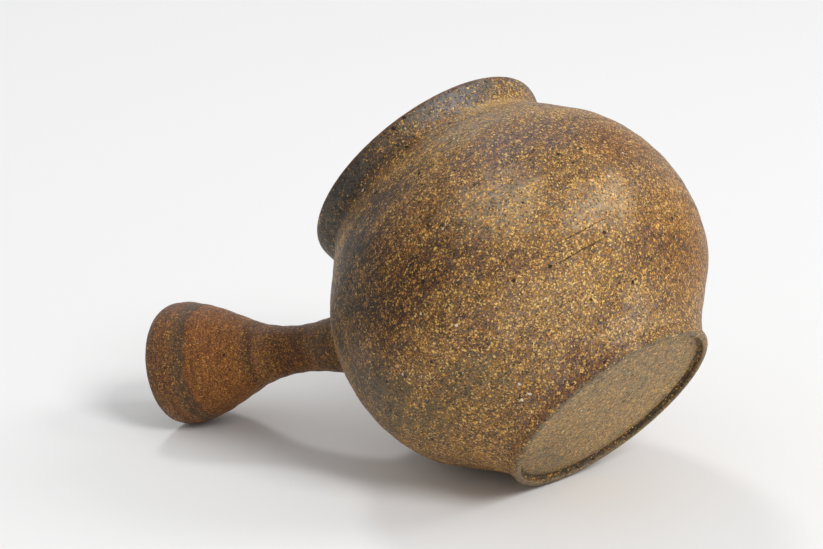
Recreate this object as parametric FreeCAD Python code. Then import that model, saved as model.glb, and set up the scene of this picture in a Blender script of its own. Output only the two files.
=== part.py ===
import FreeCAD, Part
import math
import os

os.makedirs("parts", exist_ok=True)

# A side-handled teapot of unglazed stoneware, standing on its foot ring. Origin at the centre of the foot's
# resting plane, +Z up the wheel axis, the handle towards +X and the spout towards -Y. Sizes in millimetres.

# Pot, outside
belly_diameter = 105.0
belly_height = 42.9
body_half_height = 48.2
foot_diameter = 62.6
foot_edge_height = 1.8
foot_edge_round = 1.2
foot_flare_height = 19.6
waist_diameter = 69.7
collar_height = 7.3
lip_diameter = 72.6
lip_round = 1.1

# Pot, inside
wall = 3.4
collar_wall = 3.0
floor_thickness = 4.0
floor_curve_height = 12.0
foot_ring_width = 0.8
foot_recess_depth = 1.7
foot_recess_round = 0.9
ledge_width = 3.8
seat_depth = 7.0

# Handle, a hollow trumpet
handle_rise = 35.0
handle_axis_drop = 10.6
handle_length = 59.6
handle_end_diameter = 35.4
handle_lip_depth = 4.8
handle_lip_inset = 2.1
handle_lip_round = 1.1
handle_wall = 3.2

# Spout, a tapered tube cut across its tip
spout_rise = 40.0
spout_axis_drop = 23.9
spout_length = 28.0
spout_root_diameter = 27.0
spout_wall = 2.5
spout_tip_tilt = 26.0
spout_lip_round = 0.8
spout_hole_diameter = 20.0

# Luting coils, the rolled clay pressed round each root
coil_width = 2.4
coil_height = 1.0
coil_round = 0.6

# Strainer, a pierced dome over the spout hole
strainer_diameter = 28.0
strainer_wall = 2.0
strainer_sink = 4.0
strainer_hole_diameter = 2.0
strainer_hole_pitch = 3.7
strainer_rings = 3
holes_per_ring = 6

# Lid
lid_thickness = 3.4
lid_crown = 1.4
lid_edge_round = 0.9
lid_clearance = 0.5
seat_gap = 0.1
flange_depth = 4.2
flange_wall = 2.8
flange_clearance = 0.6
vent_diameter = 3.0
vent_offset = 19.0

# Knob
knob_height = 12.5
knob_diameter = 17.0
knob_waist_diameter = 9.6
knob_base_diameter = 13.0

# Working values
cut_overrun = 5.0
full_turn = 360.0
quarter_turn = 90.0
seam_turn = 135.0

# Outlines, as shares of the lengths and radii that they follow
handle_station_shares = [0.0, 0.12, 0.25, 0.38, 0.52, 0.66, 0.80, 0.90, 1.0]
handle_radius_shares = [0.547, 0.443, 0.382, 0.392, 0.479, 0.659, 0.849, 0.950, 1.0]
spout_station_shares = [0.0, 0.16, 0.40, 0.70, 1.0]
spout_radius_shares = [1.0, 0.86, 0.74, 0.65, 0.61]
shoulder_rise_share = 0.4378
waist_rise_share = 0.7925
foot_flare_share = 0.22
shoulder_share = 0.21
waist_share = 0.16
collar_share = 0.38
floor_flat_share = 0.3
floor_share = 0.55
round_share = 0.55
knob_waist_share = 0.36
knob_widest_share = 0.76
knob_flat_share = 0.3

belly_radius = belly_diameter / 2
foot_radius = foot_diameter / 2
waist_radius = waist_diameter / 2
lip_radius = lip_diameter / 2
shoulder_height = belly_height + shoulder_rise_share * body_half_height
waist_height = belly_height + waist_rise_share * body_half_height
pot_height = waist_height + collar_height
lip_underside = pot_height - lip_round
seat_height = pot_height - seat_depth
seat_radius = waist_radius - collar_wall
mouth_radius = seat_radius - ledge_width
inner_radius = belly_radius - wall
inner_half_height = body_half_height - wall
lid_radius = seat_radius - lid_clearance
lid_underside = seat_height + seat_gap
flange_radius = mouth_radius - flange_clearance
lid_top = lid_underside + lid_thickness + lid_crown
handle_axis_height = belly_height - handle_axis_drop
spout_axis_height = belly_height - spout_axis_drop

Z_AXIS = FreeCAD.Vector(0, 0, 1)
ORIGIN = FreeCAD.Vector(0, 0, 0)


def at(radius, height):
    return FreeCAD.Vector(radius, 0, height)


def line(start, end):
    return Part.LineSegment(start, end).toShape()


def blend(start, start_handle, end_handle, end):
    curve = Part.BezierCurve()
    curve.setPoles([start, start_handle, end_handle, end])
    return curve.toShape()


def smooth(points, start_direction, end_direction):
    curve = Part.BSplineCurve()
    curve.interpolate(Points=points, InitialTangent=start_direction, FinalTangent=end_direction)
    return curve.toShape()


def quarter_round(start, corner, end):
    centre = start.add(end).sub(corner)
    middle = centre.add(corner.sub(centre).multiply(math.sqrt(1 / 2)))
    return Part.Arc(start, middle, end).toShape()


def tangent_arc(start, direction, end):
    """The arc that leaves its start along a unit direction and runs to its end."""
    chord = end.sub(start)
    across = chord.sub(FreeCAD.Vector(direction).multiply(chord.dot(direction)))
    across.normalize()
    radius = chord.dot(chord) / (2 * chord.dot(across))
    centre = start.add(across.multiply(radius))
    bisector = start.sub(centre).add(end.sub(centre))
    middle = centre.add(bisector.normalize().multiply(radius))
    return Part.Arc(start, middle, end).toShape()


def turned(edges):
    """The solid that a closed outline makes in one turn about the Z axis."""
    face = Part.Face(Part.Wire(edges))
    return face.revolve(ORIGIN, Z_AXIS, full_turn)


def thrown(edges):
    """A turned form of the pot, with the outline's own line turned away from the handle and the spout."""
    return turned(edges).rotate(ORIGIN, Z_AXIS, seam_turn)


def ellipse_radius(height, half_width, half_height):
    rise = (height - belly_height) / half_height
    return half_width * math.sqrt(1 - rise * rise)


def ellipse_slope(height, half_width, half_height):
    """How fast the radius grows with height."""
    radius = ellipse_radius(height, half_width, half_height)
    return -((half_width / half_height) ** 2) * (height - belly_height) / radius


def ellipse_wall(low, high, half_width, half_height):
    """The thrown curve between two heights, through even steps round its ellipse."""
    steps = 8
    low_turn = math.asin((low - belly_height) / half_height)
    high_turn = math.asin((high - belly_height) / half_height)
    points = []
    for step in range(steps + 1):
        turn = low_turn + (high_turn - low_turn) * step / steps
        points.append(at(half_width * math.cos(turn), belly_height + half_height * math.sin(turn)))
    start_direction = at(ellipse_slope(low, half_width, half_height), 1)
    end_direction = at(ellipse_slope(high, half_width, half_height), 1)
    return smooth(points, start_direction, end_direction)


def wall_distance(rise, axis_height, half_width, half_height):
    """How far from the pot's axis a rising line meets the ellipse of the wall."""
    across = math.cos(math.radians(rise)) / half_width
    up = math.sin(math.radians(rise)) / half_height
    offset = (axis_height - belly_height) / half_height
    square = across * across + up * up
    half_linear = up * offset
    return (-half_linear + math.sqrt(half_linear ** 2 - square * (offset * offset - 1))) / square


def pot_outside(swell):
    """The filled outer form, from the resting plane to the lip, made stouter by a swell."""
    flare_top = foot_edge_height + foot_flare_height
    flare_handle = foot_flare_share * foot_flare_height
    shoulder_handle = shoulder_share * (waist_height - shoulder_height)
    waist_handle = waist_share * collar_height
    half_width = belly_radius + swell
    half_height = body_half_height + swell
    foot = at(foot_radius + swell, 0)
    foot_flat = at(foot.x - foot_edge_round, 0)
    rounded_edge = at(foot.x, foot_edge_round)
    edge = at(foot.x, foot_edge_height)
    low = at(ellipse_radius(flare_top, half_width, half_height), flare_top)
    low_slope = ellipse_slope(flare_top, half_width, half_height)
    low_tangent = at(low.x - low_slope * flare_handle, flare_top - flare_handle)
    high = at(ellipse_radius(shoulder_height, half_width, half_height), shoulder_height)
    high_slope = ellipse_slope(shoulder_height, half_width, half_height)
    high_tangent = at(high.x + high_slope * shoulder_handle, shoulder_height + shoulder_handle)
    waist = at(waist_radius + swell, waist_height)
    lip = at(lip_radius + swell, lip_underside)
    lip_top = at(lip.x - lip_round, pot_height)
    return thrown([
        line(ORIGIN, foot_flat),
        quarter_round(foot_flat, foot, rounded_edge),
        line(rounded_edge, edge),
        blend(edge, at(foot.x, foot_edge_height + flare_handle), low_tangent, low),
        ellipse_wall(flare_top, shoulder_height, half_width, half_height),
        blend(high, high_tangent, at(waist.x, waist_height - waist_handle), waist),
        blend(
            waist,
            at(waist.x, waist_height + waist_handle),
            at(lip.x, lip_underside - collar_share * collar_height),
            lip,
        ),
        quarter_round(lip, at(lip.x, pot_height), lip_top),
        line(lip_top, at(0, pot_height)),
        line(at(0, pot_height), ORIGIN),
    ])


def pot_inside():
    """The space inside the wall, out through the mouth, the lid's seat and the lip."""
    floor_height = foot_recess_depth + floor_thickness
    curve_top = floor_height + floor_curve_height
    curve_radius = ellipse_radius(curve_top, inner_radius, inner_half_height)
    curve_slope = ellipse_slope(curve_top, inner_radius, inner_half_height)
    curve_handle = floor_share * floor_curve_height
    floor_edge = at(floor_flat_share * curve_radius, floor_height)
    mouth_height = belly_height + inner_half_height * math.sin(math.acos(mouth_radius / inner_radius))
    inner_lip_radius = lip_radius - collar_wall
    lip_start = at(inner_lip_radius, lip_underside)
    lip_end = at(inner_lip_radius + lip_round, pot_height)
    above = pot_height + cut_overrun
    return thrown([
        line(at(0, floor_height), floor_edge),
        blend(
            floor_edge,
            at(floor_share * curve_radius, floor_height),
            at(curve_radius - curve_slope * curve_handle, curve_top - curve_handle),
            at(curve_radius, curve_top),
        ),
        ellipse_wall(curve_top, mouth_height, inner_radius, inner_half_height),
        line(at(mouth_radius, mouth_height), at(mouth_radius, seat_height)),
        line(at(mouth_radius, seat_height), at(seat_radius, seat_height)),
        line(at(seat_radius, seat_height), lip_start),
        quarter_round(lip_start, at(inner_lip_radius, pot_height), lip_end),
        line(lip_end, at(lip_end.x, above)),
        line(at(lip_end.x, above), at(0, above)),
        line(at(0, above), at(0, floor_height)),
    ])


def foot_recess():
    """The shallow hollow turned out of the base, inside the foot ring."""
    recess_radius = foot_radius - foot_edge_round - foot_ring_width
    corner = at(recess_radius, foot_recess_depth)
    start = at(recess_radius, foot_recess_depth - foot_recess_round)
    end = at(recess_radius - foot_recess_round, foot_recess_depth)
    return turned([
        line(at(0, -cut_overrun), at(recess_radius, -cut_overrun)),
        line(at(recess_radius, -cut_overrun), start),
        quarter_round(start, corner, end),
        line(end, at(0, foot_recess_depth)),
        line(at(0, foot_recess_depth), at(0, -cut_overrun)),
    ])


def on_handle(shape):
    """The shape, modelled along Z from the pot's axis, laid along the handle's axis."""
    turn = FreeCAD.Rotation(FreeCAD.Vector(0, 1, 0), quarter_turn - handle_rise)
    shape.Placement = FreeCAD.Placement(at(0, handle_axis_height), turn)
    return shape


def on_spout(shape):
    """The shape, modelled along Z from the pot's axis, laid along the spout's axis."""
    turn = FreeCAD.Rotation(FreeCAD.Vector(1, 0, 0), quarter_turn - spout_rise)
    shape.Placement = FreeCAD.Placement(at(0, spout_axis_height), turn)
    return shape


handle_root = wall_distance(handle_rise, handle_axis_height, belly_radius, body_half_height)
spout_root = wall_distance(spout_rise, spout_axis_height, belly_radius, body_half_height)
root_depth = 3 * wall


def outline_points(station_shares, radius_shares, root, length, radius, inset):
    """Points along a turned limb, drawn in by an inset."""
    points = []
    for station, share in zip(station_shares, radius_shares):
        points.append(at(share * radius - inset, root + station * length))
    return points


def limb(points, end_edges, end_point):
    """A turned limb: a straight root inside the pot, its curve, and its end."""
    buried = at(points[0].x, points[0].z - root_depth)
    first_direction = points[1].sub(points[0])
    return turned([
        line(at(0, buried.z), buried),
        line(buried, points[0]),
        smooth(points, first_direction, Z_AXIS),
        *end_edges,
        line(end_point, at(0, end_point.z)),
        line(at(0, end_point.z), at(0, buried.z)),
    ])


def handle_piece(outside):
    end_radius = handle_end_diameter / 2
    length = handle_length - handle_lip_depth
    end = handle_root + handle_length
    outer = outline_points(handle_station_shares, handle_radius_shares, handle_root, length, end_radius, 0)
    inner = outline_points(
        handle_station_shares, handle_radius_shares, handle_root, length, end_radius, handle_wall)
    widest = outer[-1]
    lip = at(end_radius - handle_lip_inset, end)
    solid = limb(outer, [
        blend(
            widest,
            at(end_radius, widest.z + round_share * handle_lip_depth),
            at(lip.x + round_share * handle_lip_inset, end),
            lip,
        ),
    ], lip)
    mouth = at(inner[-1].x, end - handle_lip_round)
    mouth_edge = at(mouth.x + handle_lip_round, end)
    above = at(mouth_edge.x, end + cut_overrun)
    bore = limb(inner, [
        line(inner[-1], mouth),
        quarter_round(mouth, at(mouth.x, end), mouth_edge),
        line(mouth_edge, above),
    ], above)
    return on_handle(solid.cut(bore)).cut(outside)


def spout_piece(outside):
    root_radius = spout_root_diameter / 2
    tip_radius = spout_radius_shares[-1] * root_radius
    end = spout_root + spout_length
    beyond = end + cut_overrun + tip_radius
    outer = outline_points(
        spout_station_shares, spout_radius_shares, spout_root, spout_length, root_radius, 0)
    inner = outline_points(
        spout_station_shares, spout_radius_shares, spout_root, spout_length, root_radius, spout_wall)
    solid = limb(outer, [line(outer[-1], at(outer[-1].x, beyond))], at(outer[-1].x, beyond))
    bore = limb(inner, [line(inner[-1], at(inner[-1].x, beyond))], at(inner[-1].x, beyond))
    reach = spout_root_diameter + spout_length
    knife = Part.makeBox(reach, reach, reach, FreeCAD.Vector(-reach / 2, -reach / 2, 0))
    knife.Placement = FreeCAD.Placement(
        at(0, end), FreeCAD.Rotation(FreeCAD.Vector(1, 0, 0), -spout_tip_tilt))
    tube = solid.cut(bore).cut(knife)
    tip = max(tube.Faces, key=lambda face: face.CenterOfMass.z)
    tube = tube.makeFillet(min(spout_lip_round, spout_wall / 3), tip.Edges)
    return on_spout(tube).cut(outside)


def coil_piece(root, root_radius, lay, limb_solid, outside):
    """A band of clay pressed round a root, on the wall of the pot, its outer edge rounded over."""
    start = at(0, root - root_depth)
    disc = lay(Part.makeCylinder(root_radius + coil_width, 2 * root_depth, start))
    pad = disc.common(pot_outside(coil_height))
    core = lay(Part.makeCylinder(root_radius - coil_width, 2 * root_depth, start))
    top = max(pad.Faces, key=lambda face: face.CenterOfMass.Length)
    rounded = pad.makeFillet(min(coil_round, round_share * coil_height), top.Edges)
    return rounded.cut(core).cut(outside).cut(limb_solid)


def strainer_piece(inside):
    """A pierced dome on the inner wall, its holes in rings that point at its centre."""
    inner_wall = wall_distance(spout_rise, spout_axis_height, inner_radius, inner_half_height)
    centre = at(0, inner_wall + strainer_sink)
    outer_radius = strainer_diameter / 2
    seam_away = FreeCAD.Rotation(FreeCAD.Vector(0, 1, 0), -quarter_turn)
    ball = Part.makeSphere(outer_radius)
    hollow = Part.makeSphere(outer_radius - strainer_wall)
    dome = ball.cut(hollow)
    dome.Placement = FreeCAD.Placement(centre, seam_away)
    drills = []
    drill_start = at(0, outer_radius - 2 * strainer_wall)
    for ring in range(strainer_rings + 1):
        tilt = math.degrees(ring * strainer_hole_pitch / outer_radius)
        count = max(1, holes_per_ring * ring)
        for place in range(count):
            drill = Part.makeCylinder(strainer_hole_diameter / 2, 3 * strainer_wall, drill_start)
            turn = FreeCAD.Rotation(Z_AXIS, full_turn * place / count)
            lean = FreeCAD.Rotation(FreeCAD.Vector(0, 1, 0), 2 * quarter_turn - tilt)
            drill.Placement = FreeCAD.Placement(centre, turn.multiply(lean))
            drills.append(drill)
    pierced = dome.cut(Part.makeCompound(drills))
    return on_spout(pierced).common(inside)


def lid_piece():
    """A drop-in lid: a plate, crowned outside its knob, with a rounded edge and a locating flange below."""
    edge_top = lid_underside + lid_thickness
    flange_bottom = lid_underside - flange_depth
    flange_inner = flange_radius - flange_wall
    side = at(lid_radius, edge_top - lid_edge_round)
    top = at(lid_radius - lid_edge_round, edge_top)
    crown = at(knob_base_diameter / 2, lid_top)
    plate = turned([
        line(at(0, lid_underside), at(flange_inner, lid_underside)),
        line(at(flange_inner, lid_underside), at(flange_inner, flange_bottom)),
        line(at(flange_inner, flange_bottom), at(flange_radius, flange_bottom)),
        line(at(flange_radius, flange_bottom), at(flange_radius, lid_underside)),
        line(at(flange_radius, lid_underside), at(lid_radius, lid_underside)),
        line(at(lid_radius, lid_underside), side),
        quarter_round(side, at(lid_radius, edge_top), top),
        tangent_arc(crown, at(1, 0), top),
        line(crown, at(0, lid_top)),
        line(at(0, lid_top), at(0, lid_underside)),
    ])
    vent = Part.makeCylinder(
        vent_diameter / 2, lid_thickness + lid_crown + 2 * cut_overrun,
        FreeCAD.Vector(0, -vent_offset, lid_underside - cut_overrun))
    return plate.cut(vent)


def knob_piece():
    """A turned knob, its foot on the flat of the lid."""
    waist = at(knob_waist_diameter / 2, lid_top + knob_waist_share * knob_height)
    widest = at(knob_diameter / 2, lid_top + knob_widest_share * knob_height)
    top = at(knob_flat_share * widest.x, lid_top + knob_height)
    foot = at(knob_base_diameter / 2, lid_top)
    middle = waist.add(widest).multiply(1 / 2)
    return turned([
        line(at(0, foot.z), foot),
        tangent_arc(waist, -Z_AXIS, foot),
        tangent_arc(waist, Z_AXIS, middle),
        tangent_arc(widest, -Z_AXIS, middle),
        blend(
            widest,
            at(widest.x, widest.z + round_share * (top.z - widest.z)),
            at(round_share * widest.x, top.z),
            top,
        ),
        line(top, at(0, top.z)),
        line(at(0, top.z), at(0, foot.z)),
    ])


def write(name, shape):
    solids = shape.Solids
    shape = solids[0] if len(solids) == 1 else Part.makeCompound(solids)
    print(name, "solids", len(solids), "valid", shape.isValid(), "volume", round(shape.Volume, 1))
    shape.exportStep("parts/" + name + ".step")


outside = pot_outside(0)
inside = pot_inside()
spout_hole = on_spout(Part.makeCylinder(
    spout_hole_diameter / 2, 2 * root_depth, at(0, spout_root - root_depth)))
handle = handle_piece(outside)
spout = spout_piece(outside)

write("pot_body", outside.cut(inside).cut(foot_recess()).cut(spout_hole))
write("handle", handle)
write("handle_luting_coil", coil_piece(
    handle_root, handle_radius_shares[0] * handle_end_diameter / 2, on_handle, handle, outside))
write("spout", spout)
write("spout_luting_coil", coil_piece(
    spout_root, spout_root_diameter / 2, on_spout, spout, outside))
write("strainer", strainer_piece(inside))
write("lid", lid_piece())
write("lid_knob", knob_piece())
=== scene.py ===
import math

import bmesh
import bpy
import numpy as np
from mathutils import Matrix, Vector, noise


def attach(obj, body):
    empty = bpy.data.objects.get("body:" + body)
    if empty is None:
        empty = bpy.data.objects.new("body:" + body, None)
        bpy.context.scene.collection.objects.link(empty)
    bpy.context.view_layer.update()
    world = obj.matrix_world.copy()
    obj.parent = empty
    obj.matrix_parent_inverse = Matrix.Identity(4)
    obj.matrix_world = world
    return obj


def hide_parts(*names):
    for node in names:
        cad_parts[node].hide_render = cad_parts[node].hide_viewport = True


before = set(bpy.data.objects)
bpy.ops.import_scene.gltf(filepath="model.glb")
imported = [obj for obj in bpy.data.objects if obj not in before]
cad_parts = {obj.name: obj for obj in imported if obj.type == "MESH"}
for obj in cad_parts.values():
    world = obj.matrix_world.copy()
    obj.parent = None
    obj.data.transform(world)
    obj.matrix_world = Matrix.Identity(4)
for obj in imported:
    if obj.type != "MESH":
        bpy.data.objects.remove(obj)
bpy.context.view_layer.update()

# Sizes are in millimetres, as the potter has them, and become metres where a mesh is made.
MM = 0.001

# Pot, outside
belly_radius = 52.5
belly_height = 42.9
body_half_height = 48.2
shoulder_height = 64.0
waist_height = 81.1
foot_radius = 31.3
foot_edge_height = 1.8
foot_edge_round = 1.2
flare_height = 19.6
waist_radius = 34.85
collar_height = 7.3
lip_radius = 36.3
lip_round = 1.1

outside_inset = 0.08  # keeps the uneven wall inside the turned one

# Pot, inside
wall = 3.4
collar_wall = 3.0
floor_thickness = 4.0
floor_curve_height = 12.0
foot_ring_width = 0.8
foot_ring_softness = 0.3
recess_depth = 1.7
recess_round = 0.9
recess_crown = 0.3
ledge_width = 3.8
seat_depth = 7.0

# Handle and spout, each along its own axis
handle_rise = 35.0
handle_axis_height = 32.3
handle_length = 59.6
handle_trim = 0.7
handle_end_radius = 17.7
handle_lip_depth = 4.8
handle_lip_inset = 2.1
handle_lip_round = 1.1
handle_wall = 3.2
handle_stations = (0.0, 0.12, 0.25, 0.38, 0.52, 0.66, 0.80, 0.90, 1.0)
handle_radii = (0.547, 0.443, 0.382, 0.392, 0.479, 0.659, 0.849, 0.950, 1.0)
# Grooves turned in the handle: station along the axis, depth, width
handle_grooves = (
    (105.2, 0.10, 1.1), (111.4, 0.05, 0.7), (98.5, 0.04, 0.9),
    (86.8, 0.10, 1.0), (79.0, 0.05, 0.8), (72.5, 0.05, 0.9))
spout_rise = 40.0
spout_axis_height = 19.0
spout_length = 28.0
spout_root_radius = 13.5
spout_wall = 2.5
spout_tip_tilt = 26.0
spout_hole_radius = 10.0
spout_stations = (0.0, 0.16, 0.40, 0.70, 1.0)
spout_radii = (1.0, 0.86, 0.74, 0.65, 0.61)
spout_trim = 0.2

# Lid and knob
lid_underside = 81.5
lid_radius = 31.35
lid_thickness = 3.4
lid_crown = 1.4
lid_edge_round = 0.9
flange_radius = 27.45
flange_depth = 4.2
flange_wall = 2.8
vent_radius = 1.5
vent_offset = 19.0
knob_height = 12.5
knob_radius = 8.5
knob_waist_radius = 4.8
knob_base_radius = 6.5

pot_height = waist_height + collar_height
seat_height = pot_height - seat_depth
seat_radius = waist_radius - collar_wall
mouth_radius = seat_radius - ledge_width
inner_radius = belly_radius - wall
inner_half_height = body_half_height - wall
lid_top = lid_underside + lid_thickness + lid_crown
HALF_TURN = math.pi
FULL_TURN = 2 * math.pi
sharp_edge = 35.0  # degrees from which an edge isn't smoothed
axis_ring = 0.6  # radius of the last ring of points before the axis


# Outlines, as (radius, height) points

def bend(start, start_pull, end_pull, end, steps):
    """A pulled curve between two points."""
    points = []
    for step in range(steps + 1):
        t = step / steps
        u = 1 - t
        shares = (u * u * u, 3 * u * u * t, 3 * u * t * t, t * t * t)
        corners = (start, start_pull, end_pull, end)
        points.append(tuple(sum(s * c[k] for s, c in zip(shares, corners)) for k in range(2)))
    return points


def rounded(start, corner, end, steps=6):
    """A quarter round from start to end, inside their corner."""
    centre = (start[0] + end[0] - corner[0], start[1] + end[1] - corner[1])
    points = []
    for step in range(steps + 1):
        turn = HALF_TURN / 2 * step / steps
        points.append(tuple(
            centre[k] + (start[k] - centre[k]) * math.cos(turn) + (end[k] - centre[k]) * math.sin(turn)
            for k in range(2)))
    return points


def swept(start, direction, end, steps=24):
    """The arc that leaves its start along a unit direction and runs to its end."""
    along, chord = Vector(direction), Vector(end) - Vector(start)
    across = (chord - along * chord.dot(along)).normalized()
    radius = chord.dot(chord) / (2 * chord.dot(across))
    centre = Vector(start) + across * radius
    whole_turn = 2 * math.asin(chord.length / (2 * radius))
    points = []
    for step in range(steps + 1):
        turn = whole_turn * step / steps
        points.append(tuple(centre - across * radius * math.cos(turn) + along * radius * math.sin(turn)))
    return points


def ellipse_at(height, half_width, half_height):
    """Radius and slope of the belly's ellipse at a height."""
    radius = half_width * math.sqrt(1 - ((height - belly_height) / half_height) ** 2)
    return radius, -((half_width / half_height) ** 2) * (height - belly_height) / radius


def ellipse_run(low, high, half_width, half_height, steps=60):
    """The belly's ellipse between two heights."""
    start = math.asin((low - belly_height) / half_height)
    end = math.asin((high - belly_height) / half_height)
    turns = [start + (end - start) * step / steps for step in range(steps + 1)]
    return [(half_width * math.cos(t), belly_height + half_height * math.sin(t)) for t in turns]


def evenly(points, spacing):
    """The same line, with its points a set distance apart."""
    line = np.array(points, float)
    along = np.r_[0, np.cumsum(np.linalg.norm(np.diff(line, axis=0), axis=1))]
    count = max(1, round(along[-1] / spacing))
    at = np.linspace(0, along[-1], count + 1)
    return list(zip(np.interp(at, along, line[:, 0]), np.interp(at, along, line[:, 1])))


def joined(*runs):
    """Runs end to end, without the points that they share."""
    points = []
    for run in runs:
        points += [p for p in run if not points or math.dist(p, points[-1]) > 0.02]
    return points


def through(stations, radii):
    """Radius against station, a smooth line through the given places."""
    stations, radii = np.array(stations, float), np.array(radii, float)
    steps = np.diff(radii) / np.diff(stations)
    slopes = np.r_[steps[0], (steps[:-1] + steps[1:]) / 2, 0.0]

    def radius(at):
        at = np.clip(np.asarray(at, float), stations[0], stations[-1])
        k = np.clip(np.searchsorted(stations, at, side="right") - 1, 0, len(stations) - 2)
        span = stations[k + 1] - stations[k]
        t = (at - stations[k]) / span
        return ((2 * t**3 - 3 * t**2 + 1) * radii[k] + (t**3 - 2 * t**2 + t) * span * slopes[k]
                + (3 * t**2 - 2 * t**3) * radii[k + 1] + (t**3 - t**2) * span * slopes[k + 1])

    return radius


# Meshes

def uneven(places, size, seed):
    """Slow noise between about -1 and 1 at each place, the same in every run."""
    shift = Vector((seed * 7.3, seed * 3.1, seed * 5.7))
    values = [noise.noise(Vector(place) / size + shift) for place in places.reshape(-1, 3)]
    return np.array(values).reshape(places.shape[:-1])


def ramp(past, run):
    """From 0 at the start to 1 after the run."""
    return np.clip(past / run, 0, 1)


def wheel_marks(along, angles, depth, pitch, drift=0.0):
    """Low rings that climb one pitch a turn, as fingers and tools leave them on the wheel."""
    return depth * np.sin(FULL_TURN * along / pitch + angles + drift)


def wheel_rings(outline, around, closed=False):
    """Rings of points turned from an outline: their places, outward directions and angles."""
    line = np.array(outline, float)
    if closed:
        tangent = np.roll(line, -1, axis=0) - np.roll(line, 1, axis=0)
    else:
        tangent = np.gradient(line, axis=0)
    tangent /= np.linalg.norm(tangent, axis=1)[:, None]
    angles = FULL_TURN * np.arange(around) / around
    cosine, sine = np.cos(angles), np.sin(angles)
    radius, height = line[:, 0][:, None], line[:, 1][:, None]
    places = np.stack([radius * cosine, radius * sine, height + 0 * cosine], axis=-1)
    across, up = tangent[:, 1][:, None], -tangent[:, 0][:, None]
    outward = np.stack([across * cosine, across * sine, up + 0 * cosine], axis=-1)
    return places, outward, np.broadcast_to(angles, places.shape[:2])


def placed(name, data, matrix=None):
    """A new object in the scene, laid by a matrix."""
    thing = bpy.data.objects.new(name, data)
    bpy.context.scene.collection.objects.link(thing)
    if matrix is not None:
        thing.matrix_world = matrix
    return thing


def skin(name, places, closed=False, sharp=sharp_edge):
    """A mesh object over rings of places, in metres. The ends of an open one close on the axis."""
    rows, around = places.shape[:2]
    points = (places.reshape(-1, 3) * MM).tolist()
    faces = []
    last = rows if closed else rows - 1
    for row in range(last):
        here, there = row * around, (row + 1) % rows * around
        for k in range(around):
            beside = (k + 1) % around
            faces.append((here + k, here + beside, there + beside, there + k))
    if not closed:
        for row, order in ((0, -1), (rows - 1, 1)):
            centre = places[row].mean(axis=0) * MM
            centre[:2] = 0
            points.append(tuple(centre))
            for k in range(around):
                pair = (row * around + k, row * around + (k + 1) % around)
                faces.append((*pair[::order], len(points) - 1))
    mesh = bpy.data.meshes.new(name)
    mesh.from_pydata(points, [], faces)
    shaped = bmesh.new()
    shaped.from_mesh(mesh)
    bmesh.ops.recalc_face_normals(shaped, faces=shaped.faces)
    shaped.to_mesh(mesh)
    shaped.free()
    mesh.shade_smooth()
    mesh.set_sharp_from_angle(angle=math.radians(sharp))
    return placed(name, mesh)


def rod(name, radius, length, place, sides=96):
    """A round cutter along its own Z, laid by a matrix."""
    mesh = bpy.data.meshes.new(name)
    shaped = bmesh.new()
    bmesh.ops.create_cone(
        shaped, cap_ends=True, segments=sides, radius1=radius * MM, radius2=radius * MM, depth=length * MM)
    shaped.to_mesh(mesh)
    shaped.free()
    return placed(name, mesh, place)


def bored(piece, cutter):
    """Cuts the cutter's form out of the piece, and removes the cutter."""
    cut = piece.modifiers.new("cut", "BOOLEAN")
    cut.operation = "DIFFERENCE"
    cut.solver = "MANIFOLD"
    cut.object = cutter
    bpy.context.view_layer.update()
    whole = bpy.data.meshes.new_from_object(piece.evaluated_get(bpy.context.evaluated_depsgraph_get()))
    piece.modifiers.clear()
    piece.data = whole
    bpy.data.objects.remove(cutter)
    whole.shade_smooth()
    whole.set_sharp_from_angle(angle=math.radians(sharp_edge))
    return piece


def settled(piece, axes):
    """The piece with its lay in its mesh, so that its own frame is the pot's."""
    piece.data.transform(axes)
    return piece


def laid(rise, axis_height, about):
    """Where a limb's own axes lie: its Z rises at an angle, tipped about one of the pot's axes."""
    turn = Matrix.Rotation(math.radians(90 - rise), 4, about)
    return Matrix.Translation((0, 0, axis_height * MM)) @ turn


handle_axes = laid(handle_rise, handle_axis_height, "Y")
spout_axes = laid(spout_rise, spout_axis_height, "X")


def outer_wall():
    """The pot's outline outside, from its foot edge to its lip."""
    outline = np.array(pot_outline())
    return outline[np.argmax(outline[:, 0] >= foot_radius):np.argmax(outline[:, 1])]


def wall_reach(axes, across, beside):
    """How far along a limb's axis its side meets the pot's wall, for points beside that axis."""
    wall_line = outer_wall()
    turn = np.array(axes.to_3x3())
    start = np.array(axes.translation) / MM + np.outer(across, turn[:, 0]) + np.outer(beside, turn[:, 1])
    reach = np.full(len(start), belly_radius)
    for _ in range(12):
        place = start + reach[:, None] * turn[:, 2]
        reach -= np.hypot(place[:, 0], place[:, 1]) - np.interp(place[:, 2], wall_line[:, 1], wall_line[:, 0])
    return reach


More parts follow.
